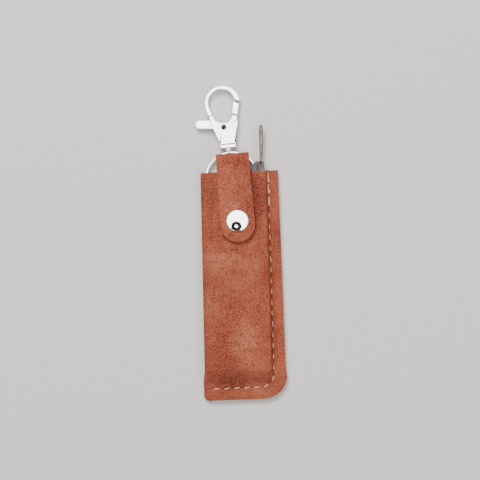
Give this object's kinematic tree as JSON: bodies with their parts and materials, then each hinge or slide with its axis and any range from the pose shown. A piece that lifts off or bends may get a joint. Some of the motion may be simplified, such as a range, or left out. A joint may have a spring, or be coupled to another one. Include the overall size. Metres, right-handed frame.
{
  "type": "pick holder",
  "caption": "Folded and sewn leather key-fob sheath for a slim steel pick, with a snap-down strap, a split ring and a swivel trigger clasp.",
  "frame": {"origin": "centre of the sheath's flat back face", "axes": "+Y along the sheath to its mouth and the clasp, +X to the sewn side, +Z out of the front"},
  "size_m": [0.038, 0.1435, 0.0117],
  "materials": {
    "leather": "mottled orange-brown nubuck",
    "thread": "waxed tan thread",
    "chrome": "polished",
    "ring_nickel": "bright nickel",
    "snap_steel": "nickel-plated",
    "spring_wire": "drawn wire",
    "pin_steel": "plain",
    "pick_steel": "matt grey",
    "shank_steel": "bright drawn"
  },
  "bodies": {
    "sheath": {"sheath_leather": "leather", "strap_bend": "leather", "needle_thread": "thread", "bobbin_thread": "thread", "snap_stud": "snap_steel", "snap_post": "snap_steel"},
    "flap": {"strap_flap": "leather", "snap_cap": "chrome", "snap_socket": "snap_steel", "snap_spring": "spring_wire"},
    "ring": {"split_ring": "ring_nickel"},
    "eye": {"swivel_eye": "chrome"},
    "clasp": {"clasp_body": "chrome", "gate_pin": "pin_steel", "gate_spring": "spring_wire"},
    "lever": {"gate_lever": "chrome"},
    "pick": {"pick_handle": "pick_steel", "pick_shank": "shank_steel", "pick_rivets": "pin_steel"}
  },
  "joints": [
    {"name": "strap_open", "type": "hinge", "parent": "sheath", "child": "flap", "pos_m": [-0.00288, 0.0578, 0.0074], "axis": [-0.9988, -0.0489, 0], "range_deg": [0, 100], "deforming": ["strap_bend", "snap_spring"]},
    {"name": "ring_spin", "type": "hinge", "parent": "sheath", "child": "ring", "pos_m": [-0.0033, 0.04895, 0.00235], "axis": [0, 0, 1], "continuous": true},
    {"name": "clasp_tilt", "type": "hinge", "parent": "sheath", "child": "eye", "pos_m": [-0.00456, 0.06075, 0.0023], "axis": [-0.9977, -0.068, 0], "range_deg": [-35, 45]},
    {"name": "clasp_swivel", "type": "hinge", "parent": "eye", "child": "clasp", "pos_m": [-0.00468, 0.06255, 0.0023], "axis": [-0.068, 0.9977, 0], "continuous": true},
    {"name": "gate_open", "type": "hinge", "parent": "clasp", "child": "lever", "pos_m": [-0.0064, 0.07226, 0.0023], "axis": [0, 0, 1], "range_deg": [0, 20], "stiffness_Nm_per_rad": 0.03, "springref_deg": -8.59, "deforming": ["gate_spring"]},
    {"name": "pick_slide", "type": "slide", "parent": "sheath", "child": "pick", "axis": [0, 1, 0], "range_m": [0, 0.092]}
  ]
}
